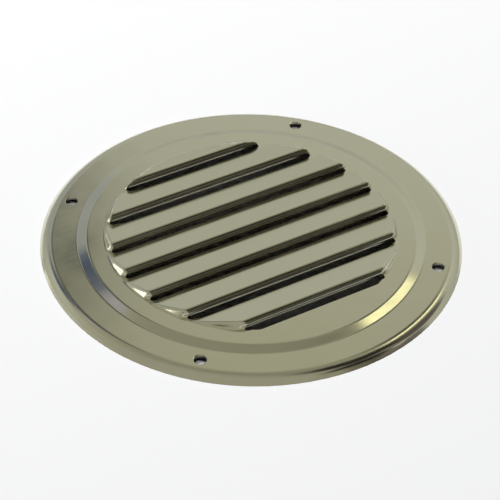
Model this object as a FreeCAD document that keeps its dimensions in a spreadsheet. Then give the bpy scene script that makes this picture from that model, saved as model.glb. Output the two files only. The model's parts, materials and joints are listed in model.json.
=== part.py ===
import FreeCAD, Part
import os
from math import hypot, pi

import Sketcher

# Round louvred vent cover, pressed from one disc of stainless steel sheet.
# The back edge of the rim lies on Z = 0 and +Z points out of the face. The slats run along X and
# their slots open towards -Y, which is down when the cover is screwed to a wall.
# Lengths are in millimetres, angles in degrees.

NODE = "vent_cover"

# Driving sizes: alias, value, meaning
SIZES = (
    ("outer_diameter", 127.0, "across the back edge of the rim"),
    ("sheet_thickness", 0.8, "steel sheet before pressing"),
    ("flange_height", 2.0, "top of the screw flange above the back edge"),
    ("rim_run", 1.9, "plan width of the rim, from its back edge to the corner with the flange"),
    ("rim_bend_radius", 2.2, "inside of the bend between flange and rim"),
    ("flange_width", 9.1, "from the corner with the rim to the foot of the step"),
    ("step_height", 0.85, "raised disc above the flange"),
    ("step_run", 2.9, "plan width of the step"),
    ("step_bend_radius", 0.5, "inside of both bends of the step"),
    ("hole_diameter", 3.6, "screw hole, halfway across the flange"),
    ("hole_count", 4, "screw holes round the flange"),
    ("hole_turn", 45.0, "angle from the slats to the first screw hole"),
    ("hole_edge_break", 0.25, "chamfer on the front edge of a screw hole"),
    ("louvre_margin", 5.6, "raised disc between the step and the closed ends of the slats"),
    ("louvre_count", 7, "slats, each with a slot under its lip"),
    ("outer_lip_margin", 7.7, "from the first and last lip to the circle of the closed ends"),
    ("louvre_rise", 2.4, "front corner of a slat above the raised disc, before its bend"),
    ("louvre_end_run", 1.5, "lean of a slat's closed end over its full rise"),
    ("louvre_end_break", 0.6, "corner broken where a slat turns down into its closed end"),
    ("lip_bend_radius", 0.7, "inside of the bend along a slat's lip"),
    ("lip_clearance", 0.3, "cut edge of a lip above the raised disc"),
    ("slot_width", 1.3, "plan gap in front of a lip, in the middle of the cover"),
    ("narrow_slot_count", 3, "slots in the middle that have this gap"),
    ("outer_slot_width", 2.5, "the same gap at the other slots"),
    ("slot_end_land", 1.2, "closed stretch of a lip between its slot and the slat's end"),
)

doc = FreeCAD.newDocument("round_vent_cover")
sheet = doc.addObject("Spreadsheet::Sheet", "sizes")
for row, (alias, value, meaning) in enumerate(SIZES, start=1):
    sheet.set(f"A{row}", meaning)
    sheet.set(f"B{row}", str(value))
    sheet.setAlias(f"B{row}", alias)
doc.recompute()

# Sizes worked out from the driving ones, as expressions of the sheet's cells
THICKNESS = "sizes.sheet_thickness"
DISC_HEIGHT = "(sizes.flange_height + sizes.step_height)"
STEP_SLOPE = "(sizes.step_height / sizes.step_run)"
RIM_SLOPE = "(sizes.flange_height / sizes.rim_run)"
OUTER_RADIUS = "(sizes.outer_diameter / 2)"
CREASE_RADIUS = f"({OUTER_RADIUS} - sizes.rim_run)"
HOLE_CIRCLE_RADIUS = f"({CREASE_RADIUS} - sizes.flange_width / 2)"
STEP_RADIUS = f"({CREASE_RADIUS} - sizes.flange_width - sizes.step_run)"
LOUVRE_RADIUS = f"({STEP_RADIUS} - sizes.louvre_margin)"
# The lowest lip lies this far below the middle
LOWEST_LIP = f"({LOUVRE_RADIUS} - sizes.outer_lip_margin)"
LOUVRE_PITCH = f"(2 * {LOWEST_LIP} / (sizes.louvre_count - 1))"
SLAT_DEPTH = f"({LOUVRE_PITCH} - sizes.slot_width)"
SLAT_SLOPE = f"(sizes.louvre_rise / {SLAT_DEPTH})"
END_LEAN = "(sizes.louvre_end_run / sizes.louvre_rise)"
# How far the slats' blanks reach into the disc, to become one with it
ROOT_DEPTH = f"(0.75 * {THICKNESS})"
# Spare length of what only cuts or bounds, past the faces that it cuts
SPARE = f"(2 * {THICKNESS})"

# How a sketch numbers the points of a line or arc, and its own axes and origin
START, END, CENTRE = range(1, 4)
H_AXIS, V_AXIS = range(-1, -3, -1)
ORIGIN = (H_AXIS, START)


def value_of(expression):
    """The number that an expression of the sheet's cells gives."""
    return float(sheet.evalExpression(expression))


def bind(thing, **expressions):
    """Tie properties of an object to expressions of the sheet's cells."""
    for prop, expression in expressions.items():
        thing.setExpression(prop, expression)


def origin_feature(body, role):
    return next(f for f in body.Origin.OriginFeatures if f.Role == role)


def new_sketch(body, name, plane):
    """An empty sketch on one of the body's own origin planes."""
    sketch = body.newObject("Sketcher::SketchObject", name)
    sketch.AttachmentSupport = [(origin_feature(body, plane), "")]
    sketch.MapMode = "FlatFace"
    return sketch


def constrain(sketch, *constraint):
    return sketch.addConstraint(Sketcher.Constraint(*constraint))


def dimension(sketch, name, expression, kind, *where):
    """A named dimension whose value follows an expression of the sheet's cells."""
    index = constrain(sketch, kind, *where, value_of(expression))
    sketch.renameConstraint(index, name)
    sketch.setExpression(f"Constraints.{name}", expression)


def closed_outline(sketch, corners):
    """Lines from corner to corner, joined end to end: line i starts at corner i."""
    points = [FreeCAD.Vector(u, v, 0) for u, v in corners]
    following = points[1:] + points[:1]
    for first, second in zip(points, following):
        sketch.addGeometry(Part.LineSegment(first, second), False)
    for i in range(len(points)):
        constrain(sketch, "Coincident", i, END, (i + 1) % len(points), START)


def near(first, second):
    return abs(first - second) < 1e-4


def dress(body, kind, name, base, wanted, **sizes):
    """Round or chamfer the edges of a feature that pass a test."""
    doc.recompute()
    edges = [f"Edge{i}" for i, edge in enumerate(base.Shape.Edges, start=1) if wanted(edge)]
    feature = body.newObject(f"PartDesign::{kind}", name)
    feature.Base = (base, edges)
    bind(feature, **sizes)
    return feature


def on_circle(radius, height):
    """Test for an edge on a level circle about Z."""

    def wanted(edge):
        return all(near(hypot(p.x, p.y), radius) and near(p.z, height) for p in edge.discretize(5))

    return wanted


def at_height(height):
    """Test for an edge with both ends at one height."""
    return lambda edge: all(near(v.Z, height) for v in edge.Vertexes)


def bend_reach(radius, slope):
    """From the corner of a bend to where its round starts, for a turn from level to a slope."""
    return f"({radius}) * (sqrt(1 + {slope}^2) - 1) / {slope}"


def pressed_dish(body):
    """Rim, screw flange, step and raised disc: the section of the sheet, turned about Z."""
    sketch = new_sketch(body, "dish_section", "XZ_Plane")
    sheet_t = value_of(THICKNESS)
    outer = value_of(OUTER_RADIUS)
    crease = value_of(CREASE_RADIUS)
    flange = value_of("sizes.flange_height")
    step = value_of(STEP_RADIUS)
    foot = step + value_of("sizes.step_run")
    disc = value_of(DISC_HEIGHT)
    closed_outline(
        sketch,
        [
            (0, disc),
            (step, disc),
            (foot, flange),
            (crease, flange),
            (outer, 0),
            (outer - 2 * sheet_t, 0),
            (crease - sheet_t / 2, flange - sheet_t),
            (foot - sheet_t / 2, flange - sheet_t),
            (step - sheet_t / 2, disc - sheet_t),
            (0, disc - sheet_t),
        ],
    )
    disc_top, step_top, flange_top, rim_top, back_edge = range(5)
    rim_under, flange_under, step_under, disc_under, axis = range(5, 10)
    for level in (disc_top, flange_top, flange_under, disc_under):
        constrain(sketch, "Horizontal", level)
    constrain(sketch, "Parallel", rim_under, rim_top)
    constrain(sketch, "Parallel", step_under, step_top)
    constrain(sketch, "PointOnObject", back_edge, START, H_AXIS)
    constrain(sketch, "PointOnObject", back_edge, END, H_AXIS)
    constrain(sketch, "PointOnObject", axis, START, V_AXIS)
    constrain(sketch, "PointOnObject", axis, END, V_AXIS)
    dimension(sketch, "outer_radius", OUTER_RADIUS, "DistanceX", *ORIGIN, back_edge, START)
    dimension(sketch, "rim_run", "sizes.rim_run", "DistanceX", rim_top, START, back_edge, START)
    dimension(sketch, "flange_height", "sizes.flange_height", "DistanceY", *ORIGIN, rim_top, START)
    dimension(sketch, "flange_width", "sizes.flange_width", "DistanceX", flange_top, START, rim_top, START)
    dimension(sketch, "step_run", "sizes.step_run", "DistanceX", step_top, START, step_top, END)
    dimension(sketch, "step_height", "sizes.step_height", "DistanceY", step_top, END, step_top, START)
    dimension(sketch, "disc_sheet", THICKNESS, "DistanceY", axis, START, axis, END)
    dimension(sketch, "flange_sheet", THICKNESS, "DistanceY", flange_under, START, rim_top, START)
    dimension(sketch, "rim_sheet", THICKNESS, "Distance", rim_under, START, rim_top)
    dimension(sketch, "step_sheet", THICKNESS, "Distance", step_under, START, step_top)
    doc.recompute()
    corner = [sketch.getPoint(line, START) for line in range(10)]

    dish = body.newObject("PartDesign::Revolution", "dish")
    dish.Profile = sketch
    dish.ReferenceAxis = (sketch, ["V_Axis"])
    step_inside = "sizes.step_bend_radius"
    step_outside = f"sizes.step_bend_radius + {THICKNESS}"
    rim_inside = "sizes.rim_bend_radius"
    rim_outside = f"sizes.rim_bend_radius + {THICKNESS}"
    feature = dish
    # Bends seen from the front are round
    for name, line, radius in (
        ("step_foot_front", flange_top, step_inside),
        ("step_top_front", step_top, step_outside),
        ("rim_front", rim_top, rim_outside),
    ):
        where = on_circle(corner[line].x, corner[line].y)
        feature = dress(body, "Fillet", name, feature, where, Radius=radius)
    # Behind the sheet a flat spans each bend, from where its round starts to where it ends
    for name, line, radius, slope in (
        ("step_top_back", disc_under, step_inside, STEP_SLOPE),
        ("step_foot_back", step_under, step_outside, STEP_SLOPE),
        ("rim_back", flange_under, rim_inside, RIM_SLOPE),
    ):
        where = on_circle(corner[line].x, corner[line].y)
        feature = dress(body, "Chamfer", name, feature, where, Size=bend_reach(radius, slope))


def screw_holes(body):
    """Holes round the flange, with the front edge broken."""
    sketch = new_sketch(body, "hole_plan", "XY_Plane")
    turn = FreeCAD.Rotation(FreeCAD.Vector(0, 0, 1), value_of("sizes.hole_turn"))
    centre = turn.multVec(FreeCAD.Vector(value_of(HOLE_CIRCLE_RADIUS), 0, 0))
    radius = value_of("sizes.hole_diameter / 2")
    hole = sketch.addGeometry(Part.Circle(centre, FreeCAD.Vector(0, 0, 1), radius), False)
    spoke = sketch.addGeometry(Part.LineSegment(FreeCAD.Vector(), centre), True)
    constrain(sketch, "Coincident", spoke, START, *ORIGIN)
    constrain(sketch, "Coincident", spoke, END, hole, CENTRE)
    dimension(sketch, "hole_circle", HOLE_CIRCLE_RADIUS, "Distance", spoke)
    dimension(sketch, "hole_radius", "sizes.hole_diameter / 2", "Radius", hole)
    angle = constrain(sketch, "Angle", H_AXIS, START, spoke, START, turn.Angle)
    sketch.renameConstraint(angle, "hole_turn")
    sketch.setExpression("Constraints.hole_turn", "sizes.hole_turn * 1 deg")

    pocket = body.newObject("PartDesign::Pocket", "screw_hole")
    pocket.Profile = sketch
    pocket.Type = "ThroughAll"
    pocket.Reversed = True
    pattern = body.newObject("PartDesign::PolarPattern", "screw_holes")
    pattern.Originals = [pocket]
    pattern.Axis = (origin_feature(body, "Z_Axis"), [""])
    bind(pattern, Occurrences="sizes.hole_count")
    body.Tip = pattern

    flange = value_of("sizes.flange_height")

    def on_front(edge):
        round_edge = isinstance(edge.Curve, Part.Circle) and near(edge.Curve.Radius, radius)
        return round_edge and near(edge.CenterOfMass.z, flange)

    dress(body, "Chamfer", "hole_edges", pattern, on_front, Size="sizes.hole_edge_break")


def repeated_along_y(body, feature, name):
    """One copy of a feature for each slat, a pitch apart towards +Y."""
    pattern = body.newObject("PartDesign::LinearPattern", name)
    pattern.Originals = [feature]
    pattern.Direction = (origin_feature(body, "Y_Axis"), [""])
    pattern.Mode = "Spacing"
    bind(pattern, Offset=LOUVRE_PITCH, Occurrences="sizes.louvre_count")
    body.Tip = pattern
    return pattern


def combine(body, name, kind, tool):
    """Join a body with another, cut it by the other, or keep what both share."""
    doc.recompute()
    feature = body.newObject("PartDesign::Boolean", name)
    feature.setObjects([tool])
    feature.Type = kind
    body.Tip = feature
    doc.recompute()
    return feature


def bounded_by_cone(body, name, low_height, low_radius, rise):
    """Keep what lies inside a cone about Z that leans in as the slats' closed ends do."""
    bound = doc.addObject("PartDesign::Body", name)
    cone = bound.newObject("PartDesign::AdditiveCone", f"{name}_cone")
    bind(cone, Radius1=low_radius, Radius2=f"{low_radius} - {rise} * {END_LEAN}", Height=rise)
    cone.setExpression("Placement.Base.z", low_height)
    return combine(body, f"{name}_common", "Common", bound)


def slat_blanks():
    """The slats' outsides as solid wedges with a rounded lip, closed at both ends."""
    body = doc.addObject("PartDesign::Body", "slat_blanks")
    sketch = new_sketch(body, "slat_section", "YZ_Plane")
    lip = -value_of(LOWEST_LIP)
    far = lip + value_of(SLAT_DEPTH)
    disc = value_of(DISC_HEIGHT)
    crest = disc + value_of("sizes.louvre_rise")
    root = disc - value_of(ROOT_DEPTH)
    closed_outline(sketch, [(lip, root), (lip, crest), (far, disc), (far, root)])
    front, slope, back, bottom = range(4)
    constrain(sketch, "Vertical", front)
    constrain(sketch, "Vertical", back)
    constrain(sketch, "Horizontal", bottom)
    dimension(sketch, "lip_place", LOWEST_LIP, "DistanceX", front, START, *ORIGIN)
    dimension(sketch, "slat_depth", SLAT_DEPTH, "DistanceX", bottom, END, bottom, START)
    dimension(sketch, "disc_height", DISC_HEIGHT, "DistanceY", *ORIGIN, back, START)
    dimension(sketch, "rise", "sizes.louvre_rise", "DistanceY", slope, END, slope, START)
    dimension(sketch, "root_depth", ROOT_DEPTH, "DistanceY", back, END, back, START)

    blank = body.newObject("PartDesign::Pad", "slat_blank")
    blank.Profile = sketch
    blank.SideType = "Symmetric"
    bind(blank, Length=f"2 * ({LOUVRE_RADIUS} + sizes.louvre_end_run)")
    blanks = repeated_along_y(body, blank, "slat_row")
    bend = f"sizes.lip_bend_radius + {THICKNESS}"
    dress(body, "Fillet", "lip_fronts", blanks, at_height(crest), Radius=bend)
    ends = bounded_by_cone(
        body,
        "slat_bound",
        f"{DISC_HEIGHT} - {ROOT_DEPTH}",
        f"({LOUVRE_RADIUS} + {ROOT_DEPTH} * {END_LEAN})",
        f"({ROOT_DEPTH} + sizes.louvre_rise + {SPARE})",
    )

    def on_closed_end(edge):
        """Edges where a slat's front, bend and slope meet the cone, above the disc."""
        middle = edge.valueAt((edge.FirstParameter + edge.LastParameter) / 2)
        cone_radius = value_of(LOUVRE_RADIUS) - (middle.z - disc) * value_of(END_LEAN)
        top = max(v.Z for v in edge.Vertexes)
        return near(hypot(middle.x, middle.y), cone_radius) and top > disc and not near(top, disc)

    dress(body, "Chamfer", "slat_ends", ends, on_closed_end, Size="sizes.louvre_end_break")
    return body


def slat_hollows():
    """The spaces under the slats, a sheet's thickness inside their blanks."""
    body = doc.addObject("PartDesign::Body", "slat_hollows")
    sketch = new_sketch(body, "hollow_section", "YZ_Plane")
    slant_sheet = f"({THICKNESS} * sqrt(1 + {SLAT_SLOPE}^2))"
    rise_inside = f"(({SLAT_DEPTH} - {THICKNESS}) * {SLAT_SLOPE} - {slant_sheet})"
    depth_below = f"({THICKNESS} + {SPARE})"
    height_inside = f"({rise_inside} + {depth_below})"
    run = f"({height_inside} / {SLAT_SLOPE})"
    lip = -value_of(LOWEST_LIP) + value_of(THICKNESS)
    top = value_of(DISC_HEIGHT) + value_of(rise_inside)
    low = value_of(DISC_HEIGHT) - value_of(depth_below)
    closed_outline(sketch, [(lip, low), (lip, top), (lip + value_of(run), low)])
    front, slope, bottom = range(3)
    constrain(sketch, "Vertical", front)
    constrain(sketch, "Horizontal", bottom)
    dimension(sketch, "lip_inside", f"{LOWEST_LIP} - {THICKNESS}", "DistanceX", front, START, *ORIGIN)
    dimension(sketch, "hollow_top", f"{DISC_HEIGHT} + {rise_inside}", "DistanceY", *ORIGIN, slope, START)
    dimension(sketch, "hollow_height", height_inside, "DistanceY", front, START, slope, START)
    dimension(sketch, "hollow_run", run, "DistanceX", bottom, END, bottom, START)

    hollow = body.newObject("PartDesign::Pad", "slat_hollow")
    hollow.Profile = sketch
    hollow.SideType = "Symmetric"
    bind(hollow, Length=f"2 * {LOUVRE_RADIUS}")
    hollows = repeated_along_y(body, hollow, "hollow_row")
    dress(body, "Fillet", "lip_backs", hollows, at_height(top), Radius="sizes.lip_bend_radius")
    inset = f"({THICKNESS} * (sqrt(1 + {END_LEAN}^2) - {END_LEAN}))"
    bounded_by_cone(
        body,
        "hollow_bound",
        f"{DISC_HEIGHT} - {depth_below}",
        f"({LOUVRE_RADIUS} - {inset} + {SPARE} * {END_LEAN})",
        f"({depth_below} + sizes.louvre_rise)",
    )
    return body


def slots(body):
    """One slot with round ends under each lip, as long as the lip lets it be."""
    sketch = new_sketch(body, "slot_plan", "XY_Plane")
    sketch.setExpression("AttachmentOffset.Base.z", f"{DISC_HEIGHT} + sizes.lip_clearance")
    count = round(value_of("sizes.louvre_count"))
    narrow_count = round(value_of("sizes.narrow_slot_count"))
    up = FreeCAD.Vector(0, 0, 1)
    for k in range(count):
        narrow = abs(2 * k + 1 - count) < narrow_count
        width = "sizes.slot_width" if narrow else "sizes.outer_slot_width"
        radius = f"(({width} + {THICKNESS}) / 2)"
        lip = f"({LOWEST_LIP} - {k} * {LOUVRE_PITCH})"
        place = f"({lip} + ({width} - {THICKNESS}) / 2)"
        half = f"(sqrt({LOUVRE_RADIUS}^2 - {lip}^2) - sizes.slot_end_land - {radius})"
        x = value_of(half)
        y = -value_of(place)
        r = value_of(radius)
        right = Part.ArcOfCircle(Part.Circle(FreeCAD.Vector(x, y, 0), up, r), -pi / 2, pi / 2)
        back = Part.LineSegment(FreeCAD.Vector(x, y + r, 0), FreeCAD.Vector(-x, y + r, 0))
        left = Part.ArcOfCircle(Part.Circle(FreeCAD.Vector(-x, y, 0), up, r), pi / 2, 3 * pi / 2)
        front = Part.LineSegment(FreeCAD.Vector(-x, y - r, 0), FreeCAD.Vector(x, y - r, 0))
        right, back, left, front = (sketch.addGeometry(g, False) for g in (right, back, left, front))
        for one, other in ((right, back), (back, left), (left, front), (front, right)):
            constrain(sketch, "Tangent", one, END, other, START)
        constrain(sketch, "Horizontal", front)
        constrain(sketch, "Symmetric", left, CENTRE, right, CENTRE, V_AXIS)
        dimension(sketch, f"half_length_{k}", half, "DistanceX", *ORIGIN, right, CENTRE)
        dimension(sketch, f"round_end_{k}", radius, "Radius", right)
        dimension(sketch, f"place_{k}", place, "DistanceY", right, CENTRE, *ORIGIN)

    pocket = body.newObject("PartDesign::Pocket", "slots")
    pocket.Profile = sketch
    bind(pocket, Length=f"sizes.lip_clearance + {THICKNESS} + {SPARE}")


blanks = slat_blanks()
hollows = slat_hollows()
cover = doc.addObject("PartDesign::Body", NODE)
cover.Label = NODE
cover.Placement = FreeCAD.Placement()
pressed_dish(cover)
screw_holes(cover)
combine(cover, "raise_slats", "Fuse", blanks)
combine(cover, "hollow_slats", "Cut", hollows)
slots(cover)
doc.recompute()

for item in doc.Objects:
    if "Invalid" in item.State or "Error" in item.State:
        raise RuntimeError(f"{item.Name} did not compute: {item.State}")
shape = cover.Shape
if shape.isNull() or not shape.isValid() or len(shape.Solids) != 1:
    raise RuntimeError(f"{NODE} is not one valid solid")

os.makedirs("parts", exist_ok=True)
shape.exportStep(f"parts/{NODE}.step")
print(NODE, "volume", round(shape.Volume, 1), "faces", len(shape.Faces), shape.optimalBoundingBox())
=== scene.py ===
import json
from math import asin, atan, atan2, cos, hypot, pi, radians, sin, sqrt, tan

import bmesh
import bpy
from bpy.props import FloatProperty, FloatVectorProperty, IntProperty, PointerProperty, StringProperty
from mathutils import Matrix, Vector
from mathutils.geometry import delaunay_2d_cdt


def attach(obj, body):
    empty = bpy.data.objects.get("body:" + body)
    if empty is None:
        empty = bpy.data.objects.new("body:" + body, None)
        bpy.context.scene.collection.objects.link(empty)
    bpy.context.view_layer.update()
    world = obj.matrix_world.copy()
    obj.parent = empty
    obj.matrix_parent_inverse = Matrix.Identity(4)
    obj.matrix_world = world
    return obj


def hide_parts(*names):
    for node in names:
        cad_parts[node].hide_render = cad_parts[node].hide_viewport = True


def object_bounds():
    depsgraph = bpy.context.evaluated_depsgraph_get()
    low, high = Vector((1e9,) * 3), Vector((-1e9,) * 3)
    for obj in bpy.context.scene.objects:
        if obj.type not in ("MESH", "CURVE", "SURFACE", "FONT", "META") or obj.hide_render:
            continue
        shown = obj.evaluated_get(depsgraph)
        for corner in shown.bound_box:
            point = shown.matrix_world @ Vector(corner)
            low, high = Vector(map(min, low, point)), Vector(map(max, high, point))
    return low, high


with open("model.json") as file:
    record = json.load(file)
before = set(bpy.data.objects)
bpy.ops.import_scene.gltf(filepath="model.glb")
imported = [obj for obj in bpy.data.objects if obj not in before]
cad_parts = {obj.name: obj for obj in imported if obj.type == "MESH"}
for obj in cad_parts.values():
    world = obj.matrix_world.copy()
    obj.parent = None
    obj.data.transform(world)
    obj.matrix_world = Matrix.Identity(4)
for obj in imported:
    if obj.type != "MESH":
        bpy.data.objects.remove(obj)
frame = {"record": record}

bl_info = {
    "name": "Round louvred vent cover",
    "version": (1, 0, 0),
    "blender": (4, 5, 0),
    "location": "View3D > Sidebar > Vent cover",
    "description": "Builds a pressed stainless steel vent cover and the studio that it lies in",
    "category": "Add Mesh",
}

CAD_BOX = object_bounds()
NODE = "vent_cover"
MM = 0.001
SCREWS = next(m for m in frame["record"]["mounts"] if m["kind"] == "bolt_pattern")["dims"]
WIDTH = CAD_BOX[1].x - CAD_BOX[0].x


def length(name, description, default_mm):
    """A length that the user sees in scene units, given here in millimetres."""
    return FloatProperty(
        name=name, description=description, default=default_mm * MM, min=0.0, unit="LENGTH", precision=5
    )


def hex_colour(name, description, default):
    """A colour that the user writes as a hex value."""
    return StringProperty(name=name, description=f"{description}, as an sRGB hex value", default=default)


class CoverSizes(bpy.types.PropertyGroup):
    """Sizes of the pressed sheet, measured on its front."""

    outer_diameter: length("Outer diameter", "Across the back edge of the rim", WIDTH / MM)
    sheet: length("Sheet", "Thickness of the steel sheet", 0.8)
    flange_height: length("Flange height", "Top of the screw flange above the back edge", 2.0)
    rim_run: length("Rim run", "Plan width of the rim", 1.9)
    rim_bend: length("Rim bend", "Radius of the bend between flange and rim", 4.3)
    flange_width: length("Flange width", "From the corner with the rim to the foot of the step", 9.1)
    step_height: length("Step height", "Raised disc above the flange", 0.85)
    step_run: length("Step run", "Plan width of the step", 2.9)
    step_foot_bend: length("Step foot bend", "Radius of the hollow bend at the foot of the step", 2.5)
    step_top_bend: length("Step top bend", "Radius of the bend at the top of the step", 3.0)
    hole_circle: length("Hole circle", "Diameter of the circle through the screw holes", SCREWS["pcd_mm"])
    hole_diameter: length("Hole diameter", "Screw hole", 2 * SCREWS["hole_r_mm"])
    hole_count: IntProperty(name="Holes", description="Screw holes round the flange", default=SCREWS["count"])
    hole_break: length("Hole edge", "Broken front edge of a screw hole", 0.25)
    louvre_radius: length("Louvre radius", "Circle that the closed ends of the slats stand on", 44.0)
    louvre_count: IntProperty(name="Slats", description="Slats, each with a slot under its lip", default=7)
    lip_margin: length("Lip margin", "From the first and last lip to the louvre circle", 7.7)
    rise: length("Rise", "Front corner of a slat above the disc, before its bend", 2.4)
    end_run: length("End run", "Lean of a slat's closed end over its full rise", 1.5)
    lip_bend: length("Lip bend", "Radius of the bend along a slat's lip", 1.5)
    lip_clearance: length("Lip clearance", "Cut edge of a lip above the raised disc", 0.3)
    slot_width: length("Slot width", "Plan gap in front of a lip, in the middle of the cover", 1.3)
    narrow_slots: IntProperty(name="Narrow slots", description="Slots in the middle that have this gap", default=3)
    outer_slot_width: length("Outer slot width", "Plan gap in front of the other lips", 2.5)
    slot_land: length("Slot land", "Closed stretch of a lip between its slot and the slat's end", 1.2)
    cut_edge: length("Cut edge", "Rounding that tumbling leaves on the cut edges", 0.1)


class SteelFinish(bpy.types.PropertyGroup):
    """Colours and gloss of the steel."""

    polished: hex_colour("Polished", "Buffed stainless steel", "#D6D5BD")
    # The mill grey is darker than the steel: partly its rolled finish, partly painted shade that keeps the slots
    # and the lips' cut edges dark
    mill_and_shade: hex_colour("Mill finish", "Stainless steel as rolled, on the back", "#8E8C84")
    gloss: FloatProperty(name="Roughness", description="Roughness of the buffed face", default=0.13, min=0, max=1)


class StudioSettings(bpy.types.PropertyGroup):
    """Where the camera stands and how the studio is lit."""

    azimuth: FloatProperty(
        name="Azimuth", description="Camera's turn from -Y towards -X", default=radians(31.45), subtype="ANGLE"
    )
    elevation: FloatProperty(
        name="Elevation", description="Camera's height above the floor", default=radians(39.9), subtype="ANGLE"
    )
    roll: FloatProperty(
        name="Roll", description="Camera's turn about its view", default=radians(1.43), subtype="ANGLE"
    )
    distance: length("Distance", "Camera from the middle of the cover", 544.0)
    lens: FloatProperty(
        name="Lens", description="Focal length on a 36 mm sensor", default=129.6, subtype="DISTANCE_CAMERA"
    )
    aim: FloatVectorProperty(
        name="Aim", description="Point aimed at, to the right of and away from the middle", size=2,
        default=(-0.32 * MM, -5.42 * MM), subtype="XYZ_LENGTH",
    )
    floor: hex_colour("Floor", "Pale paper floor", "#FAFAFA")


# Plan and section of the pressed sheet


def bent_section(corners, radii, steps):
    """Points along straight runs whose inner corners are rounded by arcs of the given radii.

    One more point just before and after each arc keeps the runs flat to the eye.
    """
    hold = 0.1 * MM
    points = [corners[0]]
    for before, corner, after, radius in zip(corners, corners[1:], corners[2:], radii):
        into = (corner - before).normalized()
        out = (after - corner).normalized()
        turn = into.angle_signed(out)
        reach = radius * tan(abs(turn) / 2)
        start = corner - into * reach
        side = Vector((-into.y, into.x)) * (-1 if turn > 0 else 1)
        centre = start + side * radius
        points.append(start - into * hold)
        for i in range(steps + 1):
            arm = start - centre
            arm.rotate(Matrix.Rotation(-turn * i / steps, 2))
            points.append(centre + arm)
        points.append(corner + out * (reach + hold))
    points.append(corners[-1])
    return points


def soft_min(first, second, blend):
    """The lesser of two heights, eased over where they are closer than the blend."""
    if blend <= 0:
        return min(first, second)
    ease = max(blend - abs(first - second), 0) / blend
    return min(first, second) - ease * ease * blend / 4


class LouvrePlan:
    """Where the lips, slots and closed ends of the slats lie on the raised disc."""

    MARGIN = 0.6 * MM  # level ring outside the louvre circle, where the slats' mesh meets the disc's
    END_ROUND = 0.6 * MM  # easing between the top of a slat and its closed end, as a height
    LOW_EASE = 1.5  # that easing is at most this many times the height itself
    FOOT_ROUND = 0.3 * MM  # easing between a closed end and the disc
    CORNER_ROUND = 1.0 * MM  # easing between a closed end and the corner that turns in to its slot
    CORNER_LEAN = 0.22  # how far that corner leans, for its rise
    OPENING_RUN = 3.0 * MM  # length over which an outer slot opens from its end

    def __init__(self, s):
        self.s = s
        self.disc = s.flange_height + s.step_height
        self.lean = s.end_run / s.rise
        self.bound = s.louvre_radius + self.MARGIN
        low = s.lip_margin - s.louvre_radius
        self.pitch = -2 * low / (s.louvre_count - 1)
        self.lips = [low + k * self.pitch for k in range(s.louvre_count)]
        self.depth = self.pitch - s.slot_width
        self.slope = s.rise / self.depth
        self.tilt = atan(self.slope)
        self.bend_y = s.lip_bend
        self.bend_z = s.rise - self.slope * s.lip_bend - s.lip_bend / cos(self.tilt)

    def slot(self, k):
        """End radius of slot k, half length between its end centres, and its centre line."""
        s = self.s
        radius = (s.slot_width + s.sheet) / 2
        half = sqrt(s.louvre_radius**2 - self.lips[k] ** 2) - s.slot_land - radius
        return radius, half, self.lips[k] + s.sheet - radius

    def slot_end(self, k, y):
        """How far slot k reaches along X, at a place across it."""
        radius, half, centre = self.slot(k)
        return half + sqrt(max(radius**2 - (y - centre) ** 2, 0))

    def slot_front(self, k, x):
        """The front edge of slot k at a place along it; the outer slots open forward, away from their ends."""
        s = self.s
        back = self.lips[k] - s.slot_width
        if abs(2 * k + 1 - s.louvre_count) < s.narrow_slots:
            return back
        share = min(max((self.slot(k)[1] - abs(x)) / self.OPENING_RUN, 0), 1)
        return back - (s.outer_slot_width - s.slot_width) * share**2 * (3 - 2 * share)

    def reach(self, y):
        """Half width of the louvre field at a place up it."""
        return sqrt(max(self.bound**2 - y**2, 0))

    def height(self, k, x, y, section):
        """Height of slat k's outside above the disc: its section, drawn down at the closed ends.

        The closed end stands on the louvre circle and turns in to the end of the slot at the lip.
        """
        lip = self.lips[k]
        turn = (pi / 2 + asin(lip / self.s.louvre_radius)) / 2
        corner = (y - lip) * cos(turn) + (self.slot_end(k, lip) - abs(x)) * sin(turn)
        wall = soft_min(
            (self.s.louvre_radius - hypot(x, y)) / self.lean, corner / self.CORNER_LEAN, self.CORNER_ROUND
        )
        wall = -soft_min(0, -wall, self.FOOT_ROUND)
        ease = min(self.END_ROUND, self.LOW_EASE * min(section, wall))
        return max(soft_min(section, wall, ease), 0)


class SheetMesh:
    """A sheet under construction: points that coincide are one vertex."""

    FINENESS = 1e7  # places per metre at which points are told apart

    def __init__(self):
        self.mesh = bmesh.new()
        self.known = {}

    def point(self, x, y, z):
        key = tuple(round(c * self.FINENESS) for c in (x, y, z))
        if key not in self.known:
            self.known[key] = self.mesh.verts.new((x, y, z))
        return self.known[key]

    def face(self, *corners):
        kept = [c for i, c in enumerate(corners) if c is not corners[i - 1]]
        if len(kept) > 2 and len(set(kept)) == len(kept) and not self.mesh.faces.get(kept):
            self.mesh.faces.new(kept)

    def grid(self, rows):
        """Quads between rows of points; each row runs along +X and the next lies towards +Y."""
        for low, high in zip(rows, rows[1:]):
            for i in range(len(low) - 1):
                self.face(low[i], low[i + 1], high[i + 1], high[i])


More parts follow.
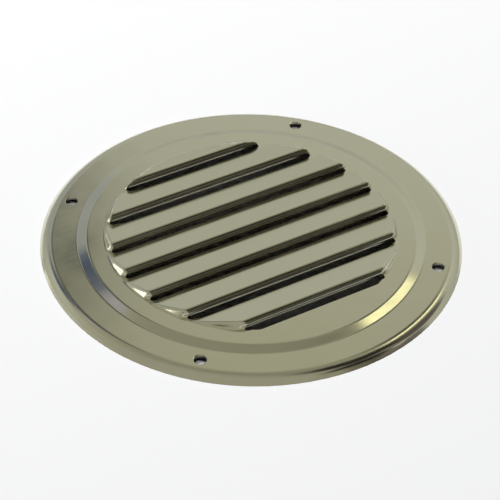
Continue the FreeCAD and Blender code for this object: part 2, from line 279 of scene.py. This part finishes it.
# Shares of the way along a row, closer together where the surface turns
END_SHARES = [i / 10 for i in range(11)]
MIDDLE_SHARES = [0, 0.12, 0.24, 0.36, 0.48, 0.6, 0.72, 0.82, 0.88, 0.915, 0.94, 0.958, 0.972, 0.982, 0.992, 1]
SLOPE_SHARES = [0, 0.03, 0.08, 0.16, 0.27, 0.38, 0.49, 0.6, 0.71, 0.82, 0.93, 1]
CAP_SHARES = [0, 0.08, 0.18, 0.3, 0.42, 0.53, 0.62, 0.69, 0.74, 0.78, 0.82, 0.86, 0.9, 0.94, 0.97, 1]
BEND_STEPS = 14  # round the bend of a lip
RING_BEND_STEPS = 8  # round a bend of the step or the rim
LAND_STEPS = 8  # across the level stretch at the end of a slot
SLOT_END_STEPS = 12  # round an end of the lowest slot
HOLE_STEPS = 40  # round a screw hole
FIRST_HOLE = pi / 4  # turn of the first screw hole from +X
ON_CIRCLE = 1e-8  # slack, in metres, in finding the points on a circle
MOST_SHELL = 1.3  # limit to how much further in the back of a sharp corner is set
NO_WIDTH = 1e-7  # edges shorter than this, in metres, are taken out
SHARP_TURN = radians(38)  # edges that turn further than this are drawn sharp
# The mill finish's darker grey is partly painted shade, for the back, the cut faces and the slots
BUFFED, MILL_AND_SHADE = 0, 1  # the two finishes, in the order of the cover's materials


def full_row(inner, outer):
    """Places along X of a whole row: closed end, middle and closed end."""
    right = [inner * f for f in MIDDLE_SHARES] + [inner + (outer - inner) * f for f in END_SHARES[1:]]
    return [-x for x in reversed(right[1:])] + right


def end_row(inner, outer):
    return [inner + (outer - inner) * f for f in END_SHARES]


def press_slat(sheet, plan, k):
    """One slat from the cut edge of its lip, round the bend and down its slope to its back."""
    s = plan.s
    lip = plan.lips[k]
    top = k == s.louvre_count - 1
    lip_end = plan.slot_end(k, lip)
    back = lip + plan.depth
    back_end = 0 if top else plan.slot_end(k + 1, back)

    def raised(x, y, section):
        return sheet.point(x, y, plan.disc + plan.height(k, x, y, section))

    def slot_limit(y):
        share = (y - lip) / plan.depth
        return lip_end if top else lip_end + (back_end - lip_end) * share

    # The lip: cut edge, then the bend
    section = [(lip, s.lip_clearance)]
    for i in range(BEND_STEPS + 1):
        turn = pi / 2 - (pi / 2 + plan.tilt) * i / BEND_STEPS
        section.append((lip + plan.bend_y - s.lip_bend * sin(turn), plan.bend_z + s.lip_bend * cos(turn)))
    rows = []
    for y, z in section:
        inner = min(slot_limit(y), plan.reach(y))
        rows.append([raised(x, y, z) for x in full_row(inner, plan.reach(y))])

    # The slope, as far as the slot behind it or, on the top slat, the closed end
    start = section[-1][0]
    first = full_row(min(slot_limit(start), plan.reach(start)), plan.reach(start))
    middle = full_row(back_end, plan.reach(back)) if not top else first
    for share in (CAP_SHARES if top else SLOPE_SHARES)[1:]:
        row = []
        for i, x in enumerate(first):
            if top:
                y = start + (sqrt(max(plan.bound**2 - x**2, 0)) - start) * share
            else:
                edge = plan.slot_front(k + 1, middle[i]) if abs(middle[i]) < back_end else back
                y = start + (edge - start) * share
                x = full_row(slot_limit(y), plan.reach(y))[i]
                if abs(middle[i]) < back_end:
                    x = first[i] + (middle[i] - first[i]) * share
            row.append(raised(x, y, max((back - y) * plan.slope, 0)))
        rows.append(row)
    sheet.grid(rows)

    # The closed stretches of the lip, from its cut edge down to the disc
    for side in (-1, 1):
        places = [side * x for x in end_row(lip_end, plan.reach(lip))]
        foot = [sheet.point(x, lip, plan.disc) for x in places]
        edge = [raised(x, lip, s.lip_clearance) for x in places]
        sheet.grid([foot, edge] if side > 0 else [foot[::-1], edge[::-1]])


def press_land(sheet, plan, k):
    """The level stretches at both ends of slot k, between its lip and the slat in front."""
    lip = plan.lips[k]
    back = lip - plan.s.slot_width
    for side in (-1, 1):
        rows = []
        for j in range(LAND_STEPS + 1):
            y = back + (lip - back) * j / LAND_STEPS
            places = [side * x for x in end_row(plan.slot_end(k, y), plan.reach(y))]
            rows.append([sheet.point(x, y, plan.disc) for x in places[::side]])
        sheet.grid(rows)


def press_foot(sheet, plan):
    """The level segment in front of the lowest slot, out to the louvre circle."""
    radius, half, centre = plan.slot(0)
    lip = plan.lips[0]
    right = [(x, lip) for x in reversed(end_row(plan.slot_end(0, lip), plan.reach(lip)))]
    start = asin((lip - centre) / radius)
    for i in range(1, SLOT_END_STEPS + 1):
        turn = start - (start + pi / 2) * i / SLOT_END_STEPS
        right.append((half + radius * cos(turn), centre + radius * sin(turn)))
    right += [(half * f, plan.slot_front(0, half * f)) for f in reversed(MIDDLE_SHARES[:-1])]
    edge = [(-x, y) for x, y in right] + right[-2::-1]
    rows = []
    for share in (1, 0.5, 0):
        row = []
        for x, y in edge:
            out = plan.bound / hypot(x, y)
            scale = 1 + (out - 1) * share
            row.append(sheet.point(x * scale, y * scale, plan.disc))
        rows.append(row)
    sheet.grid(rows)


def press_rings(sheet, plan):
    """The disc round the slats, the step, the flange and the rim; returns the last ring."""
    s = plan.s
    start = [v for v in sheet.mesh.verts if abs(hypot(v.co.x, v.co.y) - plan.bound) < ON_CIRCLE]
    turns = sorted(atan2(v.co.y, v.co.x) for v in start)
    outer = s.outer_diameter / 2
    crease = outer - s.rim_run
    foot = crease - s.flange_width
    step = foot - s.step_run
    corners = [
        Vector((plan.bound, plan.disc)),
        Vector((step, plan.disc)),
        Vector((foot, s.flange_height)),
        Vector((crease, s.flange_height)),
        Vector((outer, 0)),
    ]
    section = bent_section(corners, [s.step_top_bend, s.step_foot_bend, s.rim_bend], RING_BEND_STEPS)
    # The holes are cut in a level band, a little wider than they are
    band = 0.7 * s.hole_diameter
    middle = s.hole_circle / 2
    split = next(i for i, p in enumerate(section) if p.x > middle)
    flange = [Vector((middle - band, s.flange_height)), Vector((middle + band, s.flange_height))]
    section[split:split] = flange
    rings = [[sheet.point(p.x * cos(a), p.x * sin(a), p.y) for a in turns] for p in section]
    for i, (inner, out) in enumerate(zip(rings, rings[1:])):
        if i == split:
            continue
        for j in range(len(turns)):
            sheet.face(inner[j - 1], out[j - 1], out[j], inner[j])
    pierced_band(sheet, s, rings[split], rings[split + 1])
    return rings[-1]


def pierced_band(sheet, s, inner, outer):
    """The level middle of the flange, with the screw holes left open."""
    loops = [outer, inner]
    for i in range(s.hole_count):
        turn = FIRST_HOLE + 2 * pi * i / s.hole_count
        x, y = cos(turn) * s.hole_circle / 2, sin(turn) * s.hole_circle / 2
        spokes = [2 * pi * j / HOLE_STEPS for j in range(HOLE_STEPS)]
        radius = s.hole_diameter / 2
        loops.append([sheet.point(x + radius * cos(a), y + radius * sin(a), s.flange_height) for a in spokes])
    corners = [v for loop in loops for v in loop]
    owners = [i for i, loop in enumerate(loops) for _ in loop]
    edges = []
    for loop in loops:
        first = len(edges)
        edges += [(first + i, first + (i + 1) % len(loop)) for i in range(len(loop))]
    places = [v.co.xy / MM for v in corners]
    _, _, faces, sources, _, _ = delaunay_2d_cdt(places, edges, [], 0, 1e-9)
    for face in faces:
        used = [sources[c][0] for c in face]
        # A face whose corners are all on one round, other than the outer one, fills that round
        if len({owners[c] for c in used}) > 1 or owners[used[0]] == 0:
            sheet.face(*[corners[c] for c in used])


def on_hole(vertex, s):
    """Whether a point of an open edge belongs to a screw hole."""
    return abs(vertex.co.xy.length - s.hole_circle / 2) < s.hole_diameter


def thicken(mesh, rim, s):
    """Give the sheet its thickness behind the front, and return its cut edges."""
    mesh.normal_update()
    rim_slope = atan(s.flange_height / s.rim_run)
    rim_width = s.sheet / sin(rim_slope)
    on_rim = set(rim)
    behind = {}
    for v in list(mesh.verts):
        if v in on_rim:
            inset = 1 - rim_width / v.co.xy.length
            place = Vector((v.co.x * inset, v.co.y * inset, 0))
        else:
            place = v.co - v.normal * s.sheet * min(v.calc_shell_factor(), MOST_SHELL)
        behind[v] = place
    fronts = list(mesh.faces)
    open_edges = [e for e in mesh.edges if e.is_boundary]
    ways = [(e, e.link_loops[0].vert, e.link_loops[0].link_loop_next.vert) for e in open_edges]
    backs = {v: mesh.verts.new(place) for v, place in behind.items()}
    # The back and the cut faces take the mill finish, whose darker grey is partly painted shade in the slots
    for face in fronts:
        back = mesh.faces.new([backs[v] for v in reversed(face.verts)])
        back.material_index = MILL_AND_SHADE
    for _, first, second in ways:
        cut = mesh.faces.new([second, first, backs[first], backs[second]])
        cut.material_index = MILL_AND_SHADE
    back_edges = [mesh.edges.get((backs[a], backs[b])) for _, a, b in ways]
    return open_edges, back_edges


# Finishes


def linear(code):
    """An sRGB hex value as the linear colour that shaders take."""
    parts = [int(code[i:i + 2], 16) / 255 for i in (1, 3, 5)]
    return [c / 12.92 if c <= 0.04045 else ((c + 0.055) / 1.055) ** 2.4 for c in parts] + [1]


def add_node(tree, kind, settings=None, inputs=None, links=None):
    """Add a node with its settings, its input values, and links into its inputs."""
    node = tree.nodes.new(kind)
    for name, value in (settings or {}).items():
        setattr(node, name, value)
    for name, value in (inputs or {}).items():
        node.inputs[name].default_value = value
    for name, source in (links or {}).items():
        tree.links.new(source, node.inputs[name])
    return node


def new_material(name):
    material = bpy.data.materials.new(name)
    material.use_nodes = True
    material.node_tree.nodes.clear()
    return material, material.node_tree


def per_metre(spacing_mm):
    """Noise scale whose blotches lie about that far apart."""
    return 1000 / spacing_mm


def buffed_stainless_steel(finish):
    """Stainless steel sheet, pressed and then buffed on a wheel.

    To the eye it is a warm grey mirror: reflections keep their shapes but soften, long faint buffing
    lines run along the slats, and the pressed flats are very slightly uneven.
    """
    material, tree = new_material("buffed_stainless_steel")
    place = add_node(tree, "ShaderNodeTexCoord").outputs["Object"]
    # Buffing lines are some 0.05 mm apart; drawn at 0.5 mm across and 30 mm along, to show
    along = add_node(
        tree, "ShaderNodeMapping", inputs={"Scale": (per_metre(30), per_metre(0.5), per_metre(30))},
        links={"Vector": place},
    )
    lines = add_node(
        tree, "ShaderNodeTexNoise", inputs={"Scale": 1.0, "Detail": 4.0, "Roughness": 0.6},
        links={"Vector": along.outputs["Vector"]},
    )
    # Hazy patches where the wheel passed less often, 18 mm apart
    haze = add_node(
        tree, "ShaderNodeTexNoise", inputs={"Scale": per_metre(18), "Detail": 3.0, "Roughness": 0.55},
        links={"Vector": place},
    )
    dull = add_node(
        tree, "ShaderNodeMath", {"operation": "MULTIPLY_ADD"}, {1: 0.5},
        {0: lines.outputs["Fac"], 2: haze.outputs["Fac"]},
    )
    rough = add_node(
        tree, "ShaderNodeMapRange",
        inputs={"From Min": 0.45, "From Max": 1.05, "To Min": finish.gloss * 0.7, "To Max": finish.gloss * 1.6},
        links={"Value": dull.outputs["Value"]},
    )
    colour = linear(finish.polished)
    tint = add_node(
        tree, "ShaderNodeMix", {"data_type": "RGBA"},
        {"A": [c * 0.93 for c in colour[:3]] + [1], "B": [min(c * 1.04, 1) for c in colour[:3]] + [1]},
        {"Factor": haze.outputs["Fac"]},
    )
    # The press leaves flats uneven by a few hundredths over 14 mm
    uneven = add_node(
        tree, "ShaderNodeTexNoise", inputs={"Scale": per_metre(14), "Detail": 1.0}, links={"Vector": place}
    )
    wave = add_node(
        tree, "ShaderNodeBump", inputs={"Strength": 1.0, "Distance": 0.06 * MM},
        links={"Height": uneven.outputs["Fac"]},
    )
    scored = add_node(
        tree, "ShaderNodeBump", inputs={"Strength": 0.5, "Distance": 0.004 * MM},
        links={"Height": lines.outputs["Fac"], "Normal": wave.outputs["Normal"]},
    )
    shader = add_node(
        tree, "ShaderNodeBsdfPrincipled", inputs={"Metallic": 1.0},
        links={
            "Base Color": tint.outputs["Result"],
            "Roughness": rough.outputs["Result"],
            "Normal": scored.outputs["Normal"],
        },
    )
    add_node(tree, "ShaderNodeOutputMaterial", links={"Surface": shader.outputs["BSDF"]})
    return material


def mill_finish_and_shade_steel(finish):
    """Stainless steel as it leaves the rolls, on the back that is never buffed and on the cut faces.

    To the eye it is an even, dull grey with a soft sheen and a fine grain along the rolling. Its grey is darker
    than the steel's own: partly painted shade, which keeps the slots and the cut edges of the lips dark.
    """
    material, tree = new_material("mill_finish_and_painted_shade_steel")
    place = add_node(tree, "ShaderNodeTexCoord").outputs["Object"]
    # Rolling grain is some 0.1 mm across; drawn at 0.8 mm across and 12 mm along, to show
    along = add_node(
        tree, "ShaderNodeMapping", inputs={"Scale": (per_metre(12), per_metre(0.8), per_metre(12))},
        links={"Vector": place},
    )
    grain = add_node(
        tree, "ShaderNodeTexNoise", inputs={"Scale": 1.0, "Detail": 5.0, "Roughness": 0.65},
        links={"Vector": along.outputs["Vector"]},
    )
    rough = add_node(
        tree, "ShaderNodeMapRange", inputs={"From Min": 0.3, "From Max": 0.7, "To Min": 0.3, "To Max": 0.42},
        links={"Value": grain.outputs["Fac"]},
    )
    colour = linear(finish.mill_and_shade)
    tint = add_node(
        tree, "ShaderNodeMix", {"data_type": "RGBA"},
        {"A": [c * 0.88 for c in colour[:3]] + [1], "B": colour}, {"Factor": grain.outputs["Fac"]},
    )
    shader = add_node(
        tree, "ShaderNodeBsdfPrincipled", inputs={"Metallic": 1.0},
        links={"Base Color": tint.outputs["Result"], "Roughness": rough.outputs["Result"]},
    )
    add_node(tree, "ShaderNodeOutputMaterial", links={"Surface": shader.outputs["BSDF"]})
    return material


class VENT_OT_cover(bpy.types.Operator):
    """Press the vent cover from one sheet and finish it"""

    bl_idname = "vent.cover"
    bl_label = "Press the cover"

    def execute(self, context):
        s = context.scene.vent_cover_sizes
        plan = LouvrePlan(s)
        sheet = SheetMesh()
        for k in range(s.louvre_count):
            press_slat(sheet, plan, k)
            if k > 0:
                press_land(sheet, plan, k)
        press_foot(sheet, plan)
        rim = press_rings(sheet, plan)
        fronts, backs = thicken(sheet.mesh, rim, s)
        holes = [e for e in fronts if on_hole(e.verts[0], s)]
        pierced = set(holes)
        others = [e for e in fronts + backs if e not in pierced]
        # The wheel reaches the front edges of the holes and no other cut edge. The other roundings take the mill
        # finish, whose darker grey is partly painted shade that keeps the lips' cut edges dark.
        trims = set()
        for edges, width, surface in ((others, s.cut_edge, MILL_AND_SHADE), (holes, s.hole_break, BUFFED)):
            made = bmesh.ops.bevel(
                sheet.mesh, geom=edges, offset=width, segments=2, profile=0.5, affect="EDGES", clamp_overlap=True,
                material=surface,
            )
            trims.update(made["faces"])
        # Where there is no room for a rounding, its strips have no width
        bmesh.ops.dissolve_degenerate(sheet.mesh, dist=NO_WIDTH, edges=sheet.mesh.edges)
        trims = {face for face in trims if face.is_valid}
        if not all(edge.is_manifold for edge in sheet.mesh.edges):
            raise RuntimeError("the pressed sheet is not closed")
        for face in sheet.mesh.faces:
            face.smooth = True
        for edge in sheet.mesh.edges:
            borders = len({face in trims for face in edge.link_faces}) > 1
            edge.smooth = not borders and edge.calc_face_angle(0) < SHARP_TURN
        data = bpy.data.meshes.new("pressed_cover")
        sheet.mesh.to_mesh(data)
        sheet.mesh.free()
        finish = context.scene.vent_steel_finish
        data.materials.append(buffed_stainless_steel(finish))
        data.materials.append(mill_finish_and_shade_steel(finish))
        cover = bpy.data.objects.new("pressed_cover", data)
        context.collection.objects.link(cover)
        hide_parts(NODE)
        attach(cover, "root")
        return {"FINISHED"}


# The room that the steel mirrors. Directions are to the camera's right, away from it, and up
# Tones from the floor's level to straight overhead, by the sine of the height
ROOM_TONES = (
    (0.0, (0.45, 0.46, 0.44)),
    (0.12, (0.47, 0.48, 0.45)),
    (0.25, (0.52, 0.52, 0.48)),
    (0.58, (0.6, 0.6, 0.58)),
    (0.69, (0.485, 0.48, 0.4)),
    (0.8, (0.41, 0.4, 0.33)),
    (0.92, (0.305, 0.292, 0.245)),
    (1.0, (0.3, 0.285, 0.24)),
)
# Direction, angles of its edge and its core, and colour of each soft patch; a later one lies over the earlier ones
ROOM_PATCHES = (
    # The side behind the camera, with a dark spot low in it for the end of the lowest slat
    ((-0.35, -0.8, 0.48), 85, 40, (0.42, 0.41, 0.36)),
    ((-0.42, -0.85, 0.32), 13, 6, (0.1, 0.08, 0.05)),
    # The far side: cooler on the left, with small dark spots for the lines along the bends
    ((-0.43, 0.8, 0.42), 18, 8, (0.4, 0.42, 0.46)),
    ((0.22, 0.62, 0.75), 8, 3, (0.05, 0.05, 0.05)),
    ((-0.22, 0.62, 0.75), 8, 3, (0.06, 0.06, 0.08)),
    ((-0.16, 0.75, 0.64), 6, 2, (0.08, 0.085, 0.09)),
    # A blue-black spot and a pale one over it, for the left of the step
    ((-0.44, 0.595, 0.675), 9, 5.5, (0.09, 0.115, 0.2)),
    ((-0.4, 0.465, 0.79), 4.5, 2.5, (0.5, 0.47, 0.6)),
    # Dusk on the right, for the right of the rim
    ((0.7, 0.24, 0.65), 18, 11, (0.12, 0.1, 0.1)),
    ((0.92, -0.05, 0.38), 11, 6, (0.17, 0.15, 0.15)),
    # Darkness along the path that the bends of the lips mirror
    ((0.66, -0.31, 0.69), 18, 11, (0.01, 0.009, 0.009)),
    ((0.785, -0.51, 0.35), 18, 11, (0.01, 0.009, 0.009)),
    ((0.42, 0.08, 0.905), 17, 9, (0.012, 0.012, 0.012)),
    # Dim spots across that path, for the near right of the rim
    ((0.565, -0.55, 0.615), 12, 6, (0.37, 0.36, 0.305)),
    ((0.7, -0.41, 0.59), 8, 4, (0.2, 0.18, 0.145)),
    ((0.84, -0.235, 0.49), 8, 5, (0.19, 0.17, 0.165)),
)
# Name, direction, run of the long side, distance, size, colour, power, and whether the steel mirrors it
LAMPS = (
    ("soft_box", (-0.32, 0.523, 0.79), (0.85, 0.52, 0), 3.0, (1.2, 1.0), (0.98, 0.985, 1), 86.0, False),
    ("top_box", (-0.04, 0.06, 0.997), (0.85, 0.52, 0), 3.0, (0.9, 0.9), (1.0, 1.0, 1.0), 22.0, False),
    ("warm_strip", (0.45, 0.46, 0.766), (0.105, 0.23, -0.2), 0.8, (0.25, 0.084), (1.0, 0.94, 0.57), 0.097, True),
    ("white_strip", (-0.985, -0.06, 0.105), (0.1, -0.95, 0.3), 0.8, (1.0, 0.27), (1.0, 1.0, 1.0), 1.3, True),
)
FLOOR_HALF = 3.0  # half the side of the floor, in metres
FLOOR_GAP = 0.02 * MM  # floor below the back of the cover, so that they don't share a plane


class VENT_OT_studio(bpy.types.Operator):
    """Lay the floor, light it and set the camera"""

    bl_idname = "vent.studio"
    bl_label = "Set the studio"

    def execute(self, context):
        studio = context.scene.vent_studio
        away = Vector((sin(studio.azimuth), cos(studio.azimuth), 0))
        right = Vector((away.y, -away.x, 0))
        self.floor(context, studio)
        self.world(context, away, right)
        self.lamps(context, away, right)
        self.camera(context, studio, away, right)
        context.scene.view_settings.view_transform = "Standard"
        return {"FINISHED"}

    def floor(self, context, studio):
        """Pale matt paper, a little fibrous, wide enough to fill every view."""
        material, tree = new_material("pale_paper")
        place = add_node(tree, "ShaderNodeTexCoord").outputs["Object"]
        fibres = add_node(
            tree, "ShaderNodeTexNoise", inputs={"Scale": per_metre(3), "Detail": 4.0}, links={"Vector": place}
        )
        colour = linear(studio.floor)
        tint = add_node(
            tree, "ShaderNodeMix", {"data_type": "RGBA"},
            {"A": [c * 0.99 for c in colour[:3]] + [1], "B": colour}, {"Factor": fibres.outputs["Fac"]},
        )
        shader = add_node(tree, "ShaderNodeBsdfDiffuse", links={"Color": tint.outputs["Result"]})
        add_node(tree, "ShaderNodeOutputMaterial", links={"Surface": shader.outputs["BSDF"]})
        data = bpy.data.meshes.new("floor")
        corners = [(x * FLOOR_HALF, y * FLOOR_HALF, 0) for x, y in ((-1, -1), (1, -1), (1, 1), (-1, 1))]
        data.from_pydata(corners, [], [(0, 1, 2, 3)])
        data.materials.append(material)
        floor = bpy.data.objects.new("floor", data)
        floor.location.z = -FLOOR_GAP
        context.collection.objects.link(floor)

    def world(self, context, away, right):
        """A quiet room: pale walls, a dimmer and warmer ceiling, and soft patches for the steel to mirror."""
        world = bpy.data.worlds.new("studio_room")
        world.use_nodes = True
        tree = world.node_tree
        tree.nodes.clear()
        place = add_node(tree, "ShaderNodeTexCoord").outputs["Generated"]
        height = add_node(tree, "ShaderNodeSeparateXYZ", links={"Vector": place})
        ramp = add_node(tree, "ShaderNodeValToRGB", links={"Fac": height.outputs["Z"]})
        stops = ramp.color_ramp.elements
        while len(stops) < len(ROOM_TONES):
            stops.new(0.5)
        for stop, (position, colour) in zip(stops, ROOM_TONES):
            stop.position = position
            stop.color = (*colour, 1)
        tone = ramp.outputs["Color"]
        for direction, edge, core, colour in ROOM_PATCHES:
            toward = right * direction[0] + away * direction[1] + Vector((0, 0, direction[2]))
            near = add_node(
                tree, "ShaderNodeVectorMath", {"operation": "DOT_PRODUCT"}, {1: toward.normalized()}, {0: place}
            )
            share = add_node(
                tree, "ShaderNodeMapRange", {"interpolation_type": "SMOOTHSTEP"},
                {"From Min": cos(radians(edge)), "From Max": cos(radians(core))}, {"Value": near.outputs["Value"]},
            )
            tone = add_node(
                tree, "ShaderNodeMix", {"data_type": "RGBA"}, {"B": (*colour, 1)},
                {"Factor": share.outputs["Result"], "A": tone},
            ).outputs["Result"]
        sky = add_node(tree, "ShaderNodeBackground", links={"Color": tone})
        add_node(tree, "ShaderNodeOutputWorld", links={"Surface": sky.outputs["Background"]})
        context.scene.world = world
        # The lamps alone light the paper, so that it stays dark under the slats
        world.cycles_visibility.diffuse = False

    def lamps(self, context, away, right):
        """Soft boxes for the paper, from the far side and overhead, and strips for the steel, warm and white."""
        up = Vector((0, 0, 1))
        for name, direction, along, distance, size, colour, power, mirrored in LAMPS:
            data = bpy.data.lights.new(name, "AREA")
            data.shape = "RECTANGLE"
            data.size, data.size_y = size
            data.color = colour
            data.energy = power
            lamp = bpy.data.objects.new(name, data)
            toward = (right * direction[0] + away * direction[1] + up * direction[2]).normalized()
            first = right * along[0] + away * along[1] + up * along[2]
            first = (first - toward * first.dot(toward)).normalized()
            lamp.matrix_world = Matrix.Translation(toward * distance) @ Matrix(
                (first, toward.cross(first), toward)
            ).transposed().to_4x4()
            lamp.visible_glossy = mirrored
            context.collection.objects.link(lamp)

    def camera(self, context, studio, away, right):
        """A long lens that looks down at the cover from the near side."""
        data = bpy.data.cameras.new("camera")
        data.sensor_width = 36.0
        data.lens = studio.lens
        data.clip_start = 0.01
        camera = bpy.data.objects.new("camera", data)
        back = Vector((0, 0, 1)) * sin(studio.elevation) - away * cos(studio.elevation)
        camera.location = back * studio.distance
        target = right * studio.aim[0] + away * studio.aim[1]
        view = (target - camera.location).to_track_quat("-Z", "Y").to_matrix()
        camera.rotation_euler = (view @ Matrix.Rotation(studio.roll, 3, "Z")).to_euler()
        context.collection.objects.link(camera)
        context.scene.camera = camera


class VENT_PT_sidebar(bpy.types.Panel):
    """Sizes, finish and studio of the vent cover"""

    bl_idname = "VENT_PT_sidebar"
    bl_label = "Vent cover"
    bl_space_type = "VIEW_3D"
    bl_region_type = "UI"
    bl_category = "Vent cover"

    def draw(self, context):
        for operator, group in (
            ("vent.cover", context.scene.vent_cover_sizes),
            ("vent.cover", context.scene.vent_steel_finish),
            ("vent.studio", context.scene.vent_studio),
        ):
            box = self.layout.box()
            for name in group.__annotations__:
                box.prop(group, name)
            box.operator(operator)


CLASSES = (CoverSizes, SteelFinish, StudioSettings, VENT_OT_cover, VENT_OT_studio, VENT_PT_sidebar)


def register():
    for item in CLASSES:
        bpy.utils.register_class(item)
    bpy.types.Scene.vent_cover_sizes = PointerProperty(type=CoverSizes)
    bpy.types.Scene.vent_steel_finish = PointerProperty(type=SteelFinish)
    bpy.types.Scene.vent_studio = PointerProperty(type=StudioSettings)


def unregister():
    del bpy.types.Scene.vent_studio
    del bpy.types.Scene.vent_steel_finish
    del bpy.types.Scene.vent_cover_sizes
    for item in reversed(CLASSES):
        bpy.utils.unregister_class(item)


def main():
    register()
    bpy.ops.vent.cover()
    bpy.ops.vent.studio()


if __name__ == "__main__":
    main()
